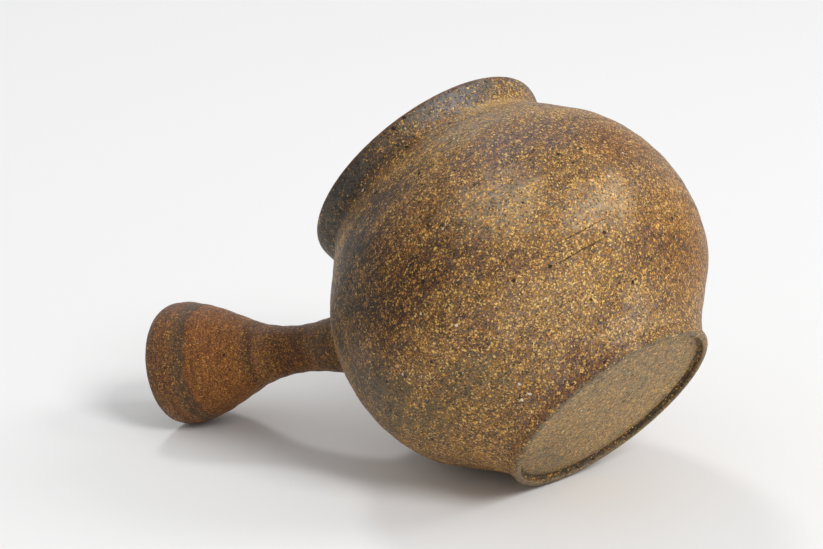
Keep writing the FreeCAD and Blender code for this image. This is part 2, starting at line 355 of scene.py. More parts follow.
def pot_outline():
    """From the middle of the base out over the belly and the lip, and down inside to the floor."""
    foot_flat = foot_radius - foot_edge_round
    recess_radius = foot_flat - foot_ring_width
    ring_inner = recess_radius + foot_ring_softness
    groove = recess_radius - recess_round
    crown_height = recess_depth - recess_crown
    flare_top = foot_edge_height + flare_height
    flare_pull = 0.22 * flare_height
    shoulder_pull = 0.21 * (waist_height - shoulder_height)
    waist_pull = 0.16 * collar_height
    outside, inside = (belly_radius, body_half_height), (inner_radius, inner_half_height)
    low_radius, low_slope = ellipse_at(flare_top, *outside)
    high_radius, high_slope = ellipse_at(shoulder_height, *outside)
    lip_under = pot_height - lip_round
    inner_lip = lip_radius - collar_wall
    floor_height = recess_depth + floor_thickness
    curve_top = floor_height + floor_curve_height
    curve_radius, curve_slope = ellipse_at(curve_top, *inside)
    curve_pull = 0.55 * floor_curve_height
    mouth_height = belly_height + inner_half_height * math.sin(math.acos(mouth_radius / inner_radius))
    return joined(
        evenly([(axis_ring, crown_height), (groove - 4, crown_height)], 1.2),
        bend((groove - 4, crown_height), (groove - 1.5, crown_height), (groove - 1, recess_depth),
             (groove, recess_depth), 9),
        rounded((groove, recess_depth), (recess_radius, recess_depth),
                (recess_radius, recess_depth - recess_round), 6),
        [(recess_radius, foot_ring_softness)],
        rounded((recess_radius, foot_ring_softness), (recess_radius, 0), (ring_inner, 0), 4),
        evenly([(ring_inner, 0), (foot_flat, 0)], 0.25),
        rounded((foot_flat, 0), (foot_radius, 0), (foot_radius, foot_edge_round), 7),
        evenly([(foot_radius, foot_edge_round), (foot_radius, foot_edge_height)], 0.3),
        evenly(bend((foot_radius, foot_edge_height), (foot_radius, foot_edge_height + flare_pull),
                    (low_radius - low_slope * flare_pull, flare_top - flare_pull),
                    (low_radius, flare_top), 80), 0.95),
        evenly(ellipse_run(flare_top, shoulder_height, *outside), 0.95),
        evenly(bend((high_radius, shoulder_height),
                    (high_radius + high_slope * shoulder_pull, shoulder_height + shoulder_pull),
                    (waist_radius, waist_height - waist_pull), (waist_radius, waist_height), 60), 0.85),
        evenly(bend((waist_radius, waist_height), (waist_radius, waist_height + waist_pull),
                    (lip_radius, lip_under - 0.38 * collar_height), (lip_radius, lip_under), 40), 0.75),
        rounded((lip_radius, lip_under), (lip_radius, pot_height), (lip_radius - lip_round, pot_height), 5),
        rounded((inner_lip + lip_round, pot_height), (inner_lip, pot_height), (inner_lip, lip_under), 5),
        evenly([(inner_lip, lip_under), (seat_radius, seat_height + 0.25)], 1.4),
        [(seat_radius - 0.08, seat_height + 0.08), (seat_radius - 0.25, seat_height)],
        evenly([(seat_radius - 0.25, seat_height), (mouth_radius + 0.3, seat_height)], 1.6),
        [(mouth_radius + 0.1, seat_height - 0.1), (mouth_radius, seat_height - 0.3)],
        evenly([(mouth_radius, seat_height - 0.3), (mouth_radius, mouth_height)], 1.5),
        evenly(ellipse_run(mouth_height, curve_top, *inside), 2.0),
        evenly(bend((curve_radius, curve_top),
                    (curve_radius - curve_slope * curve_pull, curve_top - curve_pull),
                    (0.55 * curve_radius, floor_height), (0.3 * curve_radius, floor_height), 60), 2.2),
        evenly([(0.3 * curve_radius, floor_height), (axis_ring, floor_height)], 2.2),
    )


def thrown_pot():
    outline = pot_outline()
    places, outward, angles = wheel_rings(outline, around=330)
    radius = np.hypot(places[..., 0], places[..., 1])
    height = places[..., 2]
    slow, small, gritty = uneven(places, 26, 1), uneven(places, 4.5, 2), uneven(places, 1.5, 3)
    top = np.argmax([p[1] for p in outline])
    inside = np.arange(len(outline))[:, None] > top + 4
    seat = inside & (height > seat_height - 3)
    outside = ~inside & (height > foot_edge_height + 0.5)
    fade = ramp(height - foot_edge_height, 3) * ramp(pot_height - 1.2 - height, 2)
    ribs = wheel_marks(height, angles, depth=0.05, pitch=6.8, drift=2.2 * slow)
    lines = wheel_marks(height, angles, depth=0.018, pitch=1.9, drift=5 * slow)
    shift = np.where(outside, fade * (ribs + lines + 0.05 * small + 0.14 * slow), 0)
    inner_ribs = wheel_marks(height, angles, depth=0.2, pitch=6.2, drift=1.5 * slow) + 0.08 * small
    inner_fade = ramp(seat_height - 4 - height, 6)
    shift = np.where(inside & ~seat, inner_fade * inner_ribs, shift)
    base = ~inside & (height < recess_depth + 0.01) & (radius < foot_radius - 4)
    shift = np.where(base, 0.03 * small + wheel_marks(radius, angles, depth=0.02, pitch=2.6), shift)
    shift = shift + 0.018 * gritty
    shift = (shift - np.where(outside, outside_inset, 0)) * ramp(radius, 4)
    places = places + outward * shift[..., None]
    places[..., 2] = np.clip(places[..., 2], 0.0, pot_height)
    pot = skin("thrown_pot", places)
    place = spout_axes @ Matrix.Translation((0, 0, root_on_wall(spout_axes) * MM))
    return bored(pot, rod("spout_cutter", spout_hole_radius, 6 * wall, place))


def root_on_wall(axes):
    """Where a limb's axis meets the pot's wall."""
    return wall_reach(axes, np.zeros(1), np.zeros(1))[0]


def limb_rings(axes, outline, around, root_shift):
    """Rings along a limb, the first ones drawn out to the pot's wall on every side."""
    places, outward, angles = wheel_rings(outline, around, closed=True)
    reach = wall_reach(axes, places[..., 0].ravel(), places[..., 1].ravel()).reshape(angles.shape)
    root = min(p[1] for p in outline)
    near = 1 - ramp(places[..., 2] - root, root_shift)
    places[..., 2] += near * (reach - 0.3 - root)
    return places, outward, angles


def trumpet_handle():
    root = root_on_wall(handle_axes)
    length = handle_length - handle_lip_depth - handle_trim
    curve = through(root + np.array(handle_stations) * length, np.array(handle_radii) * handle_end_radius)
    stations = np.linspace(root, root + length, 110)
    end = root + handle_length - handle_trim
    outer = list(zip(curve(stations), stations))
    widest = outer[-1]
    mouth = handle_end_radius - handle_wall
    lip = (handle_end_radius - handle_lip_inset, end)
    coarse = np.linspace(root + length, root, 50)
    outline = joined(
        outer,
        bend(widest, (handle_end_radius, widest[1] + 0.55 * handle_lip_depth),
             (lip[0] + 0.55 * handle_lip_inset, end), lip, 12),
        rounded((mouth + handle_lip_round, end), (mouth, end), (mouth, end - handle_lip_round), 5),
        evenly([(mouth, end - handle_lip_round), (mouth, widest[1])], 1.2),
        list(zip(curve(coarse) - handle_wall, coarse)),
    )
    places, outward, angles = limb_rings(handle_axes, outline, around=220, root_shift=14)
    slow, small, gritty = uneven(places, 18, 11), uneven(places, 4, 12), uneven(places, 1.4, 13)
    along = places[..., 2]
    fade = ramp(along - root - 3, 5)
    grooves = sum(
        -depth * np.exp(-((along - station - 0.35 * slow) / width) ** 2)
        for station, depth, width in handle_grooves)
    ribs = wheel_marks(along, angles, depth=0.06, pitch=5.2, drift=2 * slow)
    shift = fade * (ribs + 0.12 * slow + 0.04 * small + grooves) + 0.015 * gritty
    return settled(skin("trumpet_handle", places + outward * shift[..., None], closed=True), handle_axes)


def tapered_spout():
    root = root_on_wall(spout_axes)
    end = root + spout_length - spout_trim
    curve = through(root + np.array(spout_stations) * spout_length, np.array(spout_radii) * spout_root_radius)
    stations = np.linspace(root, end, 46)
    coarse = np.linspace(end, root, 26)
    tip = spout_radii[-1] * spout_root_radius
    bore = tip - spout_wall
    edge = spout_wall / 2 - 0.25
    outline = joined(
        list(zip(curve(stations), stations)),
        rounded((tip, end), (tip, end + 1), (tip - edge, end + 1), 4)[1:],
        rounded((bore + edge, end + 1), (bore, end + 1), (bore, end), 4)[:-1],
        list(zip(curve(coarse) - spout_wall, coarse)),
    )
    outline = [(r, s - ramp(s - root, spout_length)) for r, s in outline]
    places, outward, angles = limb_rings(spout_axes, outline, around=144, root_shift=10)
    lean = math.tan(math.radians(spout_tip_tilt))
    far = np.clip((places[..., 2] - root - 6) / (spout_length - 6), 0, 1.1)
    places[..., 2] -= far * places[..., 1] * lean
    slow, small = uneven(places, 12, 21), uneven(places, 3.5, 22)
    fade = ramp(places[..., 2] - root - 2, 5)
    ribs = wheel_marks(places[..., 2], angles, depth=0.05, pitch=4.1, drift=2 * slow)
    shift = fade * (ribs + 0.1 * slow + 0.04 * small)
    return settled(skin("tapered_spout", places + outward * shift[..., None], closed=True), spout_axes)


def luting_band(name, axes, radius, seed, around=180):
    """Clay pressed by thumb round a root: a low uneven roll between the wall and the limb."""
    angles = FULL_TURN * np.arange(around) / around
    ring = np.stack([np.cos(angles), np.sin(angles), 0 * angles], axis=-1)
    press = uneven(ring * 9, 3.0, seed)
    width = 2.3 + 0.35 * press
    rise = 0.95 + 0.25 * uneven(ring * 9, 2.2, seed + 1)
    overlap = 0.9
    inner = radius - overlap
    section = [
        (inner + (width + overlap) * (1 + math.cos(turn)) / 2, 1.1 * rise * math.sin(turn) ** 0.8 - 0.35)
        for turn in np.linspace(0, HALF_TURN, 13)]
    section.append((inner, -0.6))
    rows = []
    for out, lift in section:
        across, beside = out * np.cos(angles), out * np.sin(angles)
        rows.append(np.stack([across, beside, wall_reach(axes, across, beside) + lift], axis=-1))
    return settled(skin(name, np.array(rows), closed=True, sharp=60), axes)


def turned_lid():
    under, edge_top = lid_underside, lid_underside + lid_thickness
    bottom = under - flange_depth
    outer, inner = flange_radius, flange_radius - flange_wall
    top = (lid_radius - lid_edge_round, edge_top)
    outline = joined(
        evenly([(axis_ring, lid_top), (knob_base_radius, lid_top)], 1.5),
        evenly(swept((knob_base_radius, lid_top), (1, 0), top), 0.7),
        rounded(top, (lid_radius, edge_top), (lid_radius, edge_top - lid_edge_round), 6),
        evenly([(lid_radius, edge_top - lid_edge_round), (lid_radius, under + 0.3)], 0.8),
        [(lid_radius - 0.1, under + 0.1), (lid_radius - 0.3, under)],
        evenly([(lid_radius - 0.3, under), (outer + 0.3, under)], 1.2),
        [(outer + 0.1, under - 0.1), (outer, under - 0.3)],
        evenly([(outer, under - 0.3), (outer, bottom + 0.6)], 1.0),
        rounded((outer, bottom + 0.6), (outer, bottom), (outer - 0.6, bottom), 4),
        rounded((inner + 0.6, bottom), (inner, bottom), (inner, bottom + 0.6), 4),
        evenly([(inner, bottom + 0.6), (inner, under - 0.5)], 1.0),
        rounded((inner, under - 0.5), (inner, under), (inner - 0.5, under), 3),
        evenly([(inner - 0.5, under), (axis_ring, under)], 1.5),
    )
    places, outward, angles = wheel_rings(outline, around=260)
    radius = np.hypot(places[..., 0], places[..., 1])
    slow, gritty = uneven(places, 14, 31), uneven(places, 1.4, 32)
    upper = (places[..., 2] > edge_top - 0.01) & (radius < lid_radius - 1.2)
    roof = (np.abs(places[..., 2] - under) < 0.01) & (radius < inner - 1)
    turning = wheel_marks(radius, angles, depth=0.035, pitch=1.7, drift=2 * slow)
    turning = turning + wheel_marks(radius, 0, depth=0.03, pitch=4.6)
    shift = np.where(upper, turning, 0)
    shift = shift + np.where(roof, wheel_marks(radius, angles, depth=0.05, pitch=3.4), 0)
    shift = (shift + 0.012 * gritty) * ramp(radius, 4)
    lid = skin("turned_lid", places + outward * shift[..., None])
    place = Matrix.Translation((0, -vent_offset * MM, under * MM))
    return bored(lid, rod("vent_cutter", vent_radius, 20, place, sides=48))


def turned_knob():
    base = (knob_base_radius, lid_top)
    waist = (knob_waist_radius, lid_top + 0.36 * knob_height)
    widest = (knob_radius, lid_top + 0.76 * knob_height)
    middle = ((waist[0] + widest[0]) / 2, (waist[1] + widest[1]) / 2)
    top = (0.3 * knob_radius, lid_top + knob_height)
    outline = joined(
        [(0.3, lid_top - 0.4), (3, lid_top - 0.4), (knob_base_radius - 0.6, lid_top - 0.4), base],
        evenly(swept(waist, (0, -1), base)[::-1], 0.4),
        evenly(swept(waist, (0, 1), middle), 0.4),
        evenly(swept(widest, (0, -1), middle)[::-1], 0.4),
        evenly(bend(widest, (widest[0], widest[1] + 0.55 * (top[1] - widest[1])), (0.55 * widest[0], top[1]),
                    top, 50), 0.4),
        evenly([top, (0.3, top[1])], 0.5),
    )
    places, outward, angles = wheel_rings(outline, around=120)
    radius = np.hypot(places[..., 0], places[..., 1])
    slow, gritty = uneven(places, 7, 41), uneven(places, 1.3, 42)
    ribs = wheel_marks(places[..., 2], angles, depth=0.035, pitch=1.6, drift=2 * slow)
    shift = (ribs + 0.05 * slow + 0.012 * gritty) * ramp(radius, 2)
    shift = np.where(places[..., 2] < lid_top + 0.3, 0, shift)
    return skin("turned_knob", places + outward * shift[..., None])


# Finishes. Colours are given as they look on a screen, 0 to 255. Lengths stay in millimetres.

def seen(red, green, blue):
    def linear(value):
        value /= 255
        return value / 12.92 if value <= 0.04045 else ((value + 0.055) / 1.055) ** 2.4

    return (linear(red), linear(green), linear(blue), 1)


def grey(light):
    return [light, light, light, 1]


brown_clay = seen(102, 87, 75)
purple_clay = seen(104, 85, 79)
olive_clay = seen(108, 96, 70)
grey_clay = seen(98, 92, 82)
slate_clay = seen(138, 131, 126)
umber_clay = seen(72, 54, 40)
coal_clay = seen(72, 65, 57)
beige_clay = seen(162, 149, 126)
honey_clay = seen(146, 127, 104)
foot_clay = seen(146, 130, 100)
# Painted shade for the foot's groove
painted_groove_shade = seen(66, 58, 46)
edge_clay = seen(98, 66, 44)
orange_clay = seen(116, 70, 38)
rust_clay = seen(92, 60, 40)
neck_clay = seen(80, 47, 20)
root_clay = seen(70, 56, 36)
band_clay = seen(80, 66, 50)
gold_grain = seen(238, 174, 68)
tan_grain = seen(252, 210, 124)
rust_grain = seen(188, 110, 54)
dark_grain = seen(38, 29, 21)
pale_grog = seen(240, 226, 198)
pit_dark = seen(26, 20, 16)
floor_white = seen(242, 242, 242)
origin = (0.0, 0.0, 0.0)


class Bench:
    """Adds nodes to one tree, and joins them."""

    def __init__(self, tree):
        self.tree = tree

    def put(self, kind, inputs=(), **settings):
        node = self.tree.nodes.new(kind)
        for name, value in settings.items():
            setattr(node, name, value)
        for name, value in dict(inputs).items():
            self.feed(value, node.inputs[name])
        return node

    def feed(self, value, socket):
        if isinstance(value, bpy.types.NodeSocket):
            self.tree.links.new(value, socket)
        else:
            socket.default_value = value

    def calc(self, operation, first, second=0.0):
        return self.put("ShaderNodeMath", {0: first, 1: second}, operation=operation).outputs[0]

    def times(self, first, second):
        return self.calc("MULTIPLY", first, second)

    def plus(self, first, second):
        return self.calc("ADD", first, second)

    def minus(self, first, second):
        return self.calc("SUBTRACT", first, second)

    def topped(self, total, part, weight):
        """The total with so much of a part added."""
        return self.plus(total, self.times(part, weight))

    def eased(self, value, low, high, start=0.0, end=1.0):
        node = self.put("ShaderNodeMapRange", {
            "Value": value, "From Min": low, "From Max": high, "To Min": start, "To Max": end},
            interpolation_type="SMOOTHSTEP")
        return node.outputs["Result"]

    def faded(self, value, low, high):
        """From 1 at the low value down to 0 at the high one."""
        return self.eased(value, low, high, 1.0, 0.0)

    def tint(self, share, first, second, kind="MIX"):
        node = self.put("ShaderNodeMix", {0: share}, data_type="RGBA", blend_type=kind)
        self.feed(first, node.inputs[6])
        self.feed(second, node.inputs[7])
        return node.outputs[2]

    def layer(self, under, over, mask, weight):
        """One colour over another where the mask is, as strong as the weight."""
        return self.tint(self.times(mask, weight), under, over)

    def vector(self, operation, first, second=origin):
        node = self.put("ShaderNodeVectorMath", {0: first}, operation=operation)
        if operation == "SCALE":
            self.feed(second, node.inputs["Scale"])
        elif operation != "LENGTH":
            self.feed(second, node.inputs[1])
        return node.outputs["Value" if operation == "LENGTH" else "Vector"]

    def spread(self, place, spacing):
        """The place in steps of a spacing."""
        return self.vector("SCALE", place, self.calc("DIVIDE", 1.0, spacing))

    def parts(self, place):
        return self.put("ShaderNodeSeparateXYZ", {0: place}).outputs

    def soft_noise(self, place, size, detail, rough):
        """Soft noise of one size, as a value (Fac) and a colour (Color)."""
        return self.put("ShaderNodeTexNoise", {
            "Vector": self.spread(place, size), "Scale": 1.0, "Detail": detail, "Roughness": rough}).outputs

    def cells(self, place, spacing):
        """Scattered points: the distance to the nearest one, in spacings, and its three chances."""
        points = self.put("ShaderNodeTexVoronoi", {
            "Vector": self.spread(place, spacing), "Scale": 1.0}).outputs
        chances = self.put("ShaderNodeSeparateColor", {"Color": points["Color"]}).outputs
        return points["Distance"], chances

    def group(self, tree, **inputs):
        return self.put("ShaderNodeGroup", inputs, node_tree=tree).outputs


def cleared(owner):
    """The bench of a new material or world, with its tree emptied."""
    owner.use_nodes = True
    owner.node_tree.nodes.clear()
    return Bench(owner.node_tree)


def new_group(name, inputs, outputs):
    """A shader group over a place. Gives its tree, its bench, what comes in and where it goes out."""
    tree = bpy.data.node_groups.new(name, "ShaderNodeTree")
    kinds = {float: "NodeSocketFloat", tuple: "NodeSocketVector", list: "NodeSocketColor"}
    for label, value in {"Place": origin, **inputs}.items():
        socket = tree.interface.new_socket(label, in_out="INPUT", socket_type=kinds[type(value)])
        socket.default_value = value
    for label, kind in outputs.items():
        tree.interface.new_socket(label, in_out="OUTPUT", socket_type=kinds[kind])
    came, goes = tree.nodes.new("NodeGroupInput").outputs, tree.nodes.new("NodeGroupOutput").inputs
    return tree, Bench(tree), came, goes


def grains_group():
    """Grains of grit of one size: where they are, and two chances that differ from grain to grain."""
    tree, bench, came, goes = new_group(
        "clay_grains", {"Grain": 0.5, "Share": 0.4, "Fill": 0.55},
        {"Grains": float, "Tone": float, "Glow": float})
    far, chance = bench.cells(came["Place"], came["Grain"])
    chosen = bench.calc("LESS_THAN", chance[0], came["Share"])
    reach = bench.times(came["Fill"], bench.plus(0.65, bench.times(0.7, chance[2])))
    body = bench.faded(far, bench.times(reach, 0.75), bench.times(reach, 1.1))
    bench.feed(bench.times(chosen, body), goes["Grains"])
    bench.feed(chance[1], goes["Tone"])
    bench.feed(chance[2], goes["Glow"])
    return tree


def lines_group():
    """Fine lines round the wheel axis, from fingers and turning tools."""
    tree, bench, came, goes = new_group("wheel_lines", {"Spacing": 1.2, "Run": 60.0}, {"Lines": float})
    parts = bench.parts(came["Place"])
    squeezed = bench.put("ShaderNodeCombineXYZ", {
        0: bench.calc("DIVIDE", parts[0], came["Run"]),
        1: bench.calc("DIVIDE", parts[1], came["Run"]),
        2: bench.calc("DIVIDE", parts[2], came["Spacing"])}).outputs[0]
    lines = bench.soft_noise(squeezed, size=1.0, detail=3.0, rough=0.6)["Fac"]
    bench.feed(bench.eased(lines, 0.3, 0.7), goes["Lines"])
    return tree


def patches_group():
    """Soft patches that the fire left, longer round the pot than up it."""
    tree, bench, came, goes = new_group(
        "kiln_patches", {"Size": 20.0, "Seed": 0.0, "Edge": 0.08}, {"Patches": float})
    squeezed = bench.vector("MULTIPLY", bench.spread(came["Place"], came["Size"]), (1.0, 1.0, 1.7))
    cloud = bench.put("ShaderNodeTexNoise", {
        "Vector": squeezed, "W": came["Seed"], "Scale": 1.0, "Detail": 5.0, "Roughness": 0.6,
        "Distortion": 0.3}, noise_dimensions="4D")
    low, high = bench.minus(0.5, came["Edge"]), bench.plus(0.5, came["Edge"])
    bench.feed(bench.eased(cloud.outputs["Fac"], low, high), goes["Patches"])
    return tree


def pits_group():
    """Small open pits where a grain pulled out."""
    tree, bench, came, goes = new_group(
        "pulled_grains", {"Spacing": 5.0, "Share": 0.5, "Size": 0.35}, {"Pits": float})
    far, chance = bench.cells(came["Place"], came["Spacing"])
    size = bench.times(came["Size"], bench.plus(0.5, chance[1]))
    pit = bench.faded(bench.times(far, came["Spacing"]), bench.times(size, 0.5), size)
    bench.feed(bench.times(pit, bench.calc("LESS_THAN", chance[0], came["Share"])), goes["Pits"])
    return tree


def spot_group():
    """A soft spot with a ragged edge, at a known place."""
    tree, bench, came, goes = new_group(
        "fire_spot", {"Centre": origin, "Reach": (20.0, 20.0, 20.0), "Ragged": 0.5}, {"Spot": float})
    away = bench.vector("LENGTH", bench.vector(
        "DIVIDE", bench.vector("SUBTRACT", came["Place"], came["Centre"]), came["Reach"]))
    cloud = bench.soft_noise(came["Place"], size=11.0, detail=4.0, rough=0.6)["Fac"]
    torn = bench.times(came["Ragged"], bench.minus(cloud, 0.5))
    bench.feed(bench.faded(bench.topped(away, torn, 2.0), 0.2, 1.0), goes["Spot"])
    return tree


def drag_group():
    """A scratch that a grain left, dragged round the pot at one height."""
    tree, bench, came, goes = new_group(
        "drag_mark", {"Height": 24.0, "Middle": 2.2, "Half": 0.15, "Width": 0.3}, {"Mark": float})
    parts = bench.parts(came["Place"])
    round_pot = bench.calc("ARCTAN2", parts[1], parts[0])
    waver = bench.soft_noise(came["Place"], size=5.0, detail=4.0, rough=0.7)["Fac"]
    height = bench.topped(parts[2], bench.minus(waver, 0.5), 1.1)
    across = bench.calc("ABSOLUTE", bench.minus(height, came["Height"]))
    along = bench.calc("ABSOLUTE", bench.minus(round_pot, came["Middle"]))
    width = bench.times(came["Width"], bench.plus(0.3, waver))
    line = bench.faded(across, bench.times(width, 0.4), width)
    run = bench.faded(along, bench.times(came["Half"], 0.7), came["Half"])
    bench.feed(bench.times(line, run), goes["Mark"])
    return tree


grains, wheel_lines, patches = grains_group(), lines_group(), patches_group()
pulled_grains, fire_spot, drag_mark = pits_group(), spot_group(), drag_group()


def clay_group():
    """The clay close up: a ground with gold, rust and dark grains, pale grog and pits."""
    tree, bench, came, goes = new_group(
        "speckled_clay",
        {"Ground": [0.2, 0.1, 0.05, 1.0], "Shade": grey(1.0),
         "Gold": 0.5, "Rust": 0.3, "Pale": 1.0, "Scratch": 0.0},
        {"Colour": list, "Roughness": float, "Relief": float})
    place = came["Place"]
    cloud = bench.soft_noise(place, size=0.6, detail=3.0, rough=0.7)["Color"]
    shaken = bench.vector("ADD", place, bench.vector("SUBTRACT", cloud, (0.5, 0.5, 0.5)))
    streaks = bench.group(wheel_lines, Place=place, Spacing=1.4, Run=42.0)["Lines"]
    broad = bench.group(wheel_lines, Place=place, Spacing=6.5, Run=60.0)["Lines"]
    flecks = bench.group(patches, Place=place, Size=2.2, Seed=3.0, Edge=0.16)["Patches"]
    gold = bench.topped(came["Gold"], bench.minus(flecks, 0.5), 0.56)
    gold = bench.calc("MAXIMUM", bench.topped(gold, bench.minus(streaks, 0.5), -0.12), 0.02)

    def sown(shift, grain, share, fill):
        """Grains of one size. A shift of the place keeps the sorts apart."""
        return bench.group(
            grains, Place=bench.vector("ADD", shaken, shift), Grain=grain, Share=share, Fill=fill)

    fine = sown(origin, grain=0.34, share=bench.times(gold, 0.95), fill=0.62)
    dust = sown((3.0, 9.0, 1.0), grain=0.24, share=bench.topped(0.05, gold, 0.5), fill=0.6)
    medium = sown((31.0, 17.0, 9.0), grain=0.7, share=bench.times(gold, 0.24), fill=0.5)
    grog = sown((7.0, 53.0, 21.0), grain=2.6, share=0.06, fill=0.14)
    soot = sown((11.0, 3.0, 77.0), grain=0.5, share=0.48, fill=0.56)
    pits = bench.group(pulled_grains, Place=shaken, Spacing=4.4, Share=0.5, Size=0.5)["Pits"]
    mottle = bench.soft_noise(place, size=1.6, detail=4.0, rough=0.7)["Fac"]

    def sprinkled(colour, sort, tone, glow, least, gain):
        """Grains over the colour, the glowing ones stronger than the dull ones."""
        return bench.layer(colour, tone, sort["Grains"], bench.topped(least, glow, gain))

    def shaded(colour, mask, dark, light):
        return bench.tint(1.0, colour, bench.tint(mask, dark, light), "MULTIPLY")

    rusty = bench.eased(fine["Tone"], bench.minus(came["Rust"], 0.3), bench.plus(came["Rust"], 0.3))
    warm = bench.tint(rusty, rust_grain, gold_grain)
    bright = bench.tint(bench.times(came["Pale"], bench.eased(fine["Glow"], 0.72, 0.95)), warm, tan_grain)
    coarse_tone = bench.tint(bench.times(came["Pale"], medium["Tone"]), warm, tan_grain)
    dust_tone = bench.tint(dust["Tone"], rust_grain, gold_grain)
    blotches = bench.eased(mottle, 0.3, 0.7)
    colour = shaded(came["Ground"], blotches, grey(0.72), [1.24, 1.22, 1.2, 1])
    colour = bench.layer(colour, dark_grain, soot["Grains"], 0.72)
    colour = sprinkled(colour, dust, dust_tone, dust["Glow"], least=0.15, gain=0.5)
    colour = sprinkled(colour, fine, bright, bench.times(fine["Glow"], fine["Glow"]), least=0.22, gain=0.7)
    colour = sprinkled(colour, medium, coarse_tone, medium["Glow"], least=0.2, gain=0.6)
    colour = bench.layer(colour, pale_grog, grog["Grains"], bench.times(0.85, came["Pale"]))
    colour = shaded(colour, streaks, grey(1.07), grey(0.93))
    colour = shaded(colour, broad, grey(0.95), grey(1.05))
    colour = bench.tint(1.0, colour, came["Shade"], "MULTIPLY")
    hollow = bench.calc("MAXIMUM", pits, bench.times(came["Scratch"], 0.7))
    bench.feed(bench.layer(colour, pit_dark, hollow, 0.92), goes["Colour"])
    bench.feed(bench.topped(0.5, fine["Grains"], -0.14), goes["Roughness"])
    relief = bench.times(hollow, -0.3)
    for part, height in (
        (fine["Grains"], 0.05), (medium["Grains"], 0.06), (grog["Grains"], 0.08), (dust["Grains"], 0.02),
        (streaks, 0.04), (mottle, 0.1),
    ):
        relief = bench.topped(relief, part, height)
    bench.feed(relief, goes["Relief"])
    return tree


speckled_clay = clay_group()


# Scratches round the pot: height, middle and half width in degrees, width of the scratch
drag_marks = [(24.0, 126.0, 9.5, 0.34), (27.8, 131.0, 8.0, 0.2), (71.0, 119.0, 6.0, 0.2)]
# Between which heights and radii the foot's face changes its clay, and the groove and the ring's inner wall
# get painted shade
foot_face_heights = (1.7, 1.95)
foot_face_radii = (30.6, 31.2)
foot_groove_heights = (0.1, 1.2)
foot_groove_radii = (27.6, 28.7)


def stoneware(name, spots=(), bands=(), gold=0.5, rust=0.35, grit=1.0, sweep=4.0, pale=1.0, foot=False,
              axes=None):
    """Unglazed speckled stoneware, coloured by the fire in patches, spots and bands; spots hold painted shade
    and highlight too.

    gold is the share of gold grains, rust how many of them are red, pale how strong the pale ones are, grit
    their size and sweep the spacing of the wheel lines. The piece with the foot has the drag marks too.
    """
    material = bpy.data.materials.new(name)
    bench = cleared(material)
    place = bench.vector("SCALE", bench.put("ShaderNodeTexCoord").outputs["Object"], 1 / MM)
    if axes:
        back = axes.inverted()
        place = bench.put("ShaderNodeMapping", {
            "Vector": place, "Location": back.translation / MM, "Rotation": back.to_euler()}).outputs[0]
    along = bench.parts(place)[2]
    purple = bench.group(patches, Place=place, Size=26.0, Seed=1.0, Edge=0.12)["Patches"]
    olive = bench.group(patches, Place=place, Size=20.0, Seed=2.0, Edge=0.12)["Patches"]
    ground = bench.layer(brown_clay, purple_clay, purple, 0.8)
    ground = bench.layer(ground, olive_clay, olive, 0.5)
    sweeps = bench.group(wheel_lines, Place=place, Spacing=sweep, Run=46.0)["Lines"]
    ground = bench.layer(ground, edge_clay, sweeps, 0.4)
    share = bench.topped(gold, bench.minus(olive, purple), 0.16)
    share = bench.topped(share, bench.minus(0.5, sweeps), 0.22)
    scratch = 0.0
    shade = grey(1.0)
    # Each spot multiplies in its smoke and its painted light and shade
    for centre, reach, ragged, colour, weight, change, smoke_and_painted_light in spots:
        spot = bench.group(fire_spot, Place=place, Centre=centre, Reach=reach, Ragged=ragged)["Spot"]
        ground = bench.layer(ground, colour, spot, weight)
        share = bench.topped(share, spot, change)
        shade = bench.tint(spot, shade, bench.tint(1.0, shade, [*smoke_and_painted_light, 1], "MULTIPLY"))
    ripple = bench.put("ShaderNodeTexNoise", {"Vector": place, "Scale": 0.12, "Detail": 3.0}).outputs["Fac"]
    bent = bench.topped(along, bench.minus(ripple, 0.5), 2.4)
    for station, width, colour, weight, change in bands:
        away = bench.calc("ABSOLUTE", bench.minus(bent, station))
        band = bench.faded(away, 0.35 * width, width)
        ground = bench.layer(ground, colour, band, weight)
        share = bench.topped(share, band, change)
    if foot:
        radius = bench.vector("LENGTH", bench.vector("MULTIPLY", place, (1.0, 1.0, 0.0)))
        face = bench.times(bench.faded(along, *foot_face_heights), bench.faded(radius, *foot_face_radii))
        ground = bench.tint(face, ground, foot_clay)
        share = bench.topped(share, face, -0.12)
        # Painted shade in the foot's groove and up the ring's inner wall, darker deeper in the recess
        ring = bench.times(face, bench.eased(radius, *foot_groove_radii))
        deep = bench.eased(along, *foot_groove_heights, 0.35, 1.0)
        ground = bench.layer(ground, painted_groove_shade, ring, deep)
        share = bench.topped(share, ring, -0.25)
        for height, middle, half, width in drag_marks:
            mark = bench.group(
                drag_mark, Place=place, Height=height, Middle=math.radians(middle), Half=math.radians(half),
                Width=width)
            scratch = bench.plus(scratch, mark["Mark"])
    share = bench.calc("MAXIMUM", bench.calc("MINIMUM", share, 1.0), 0.0)
    clay = bench.group(
        speckled_clay, Place=bench.spread(place, grit), Ground=ground, Shade=shade, Gold=share, Rust=rust,
        Pale=pale, Scratch=scratch)
    bump = bench.put("ShaderNodeBump", {"Strength": 1.0, "Distance": MM, "Height": clay["Relief"]})
    shader = bench.put("ShaderNodeBsdfPrincipled", {
        "Base Color": clay["Colour"], "Roughness": clay["Roughness"], "Normal": bump.outputs["Normal"],
        "Specular IOR Level": 0.16})
    bench.put("ShaderNodeOutputMaterial", {"Surface": shader.outputs["BSDF"]})
    return material


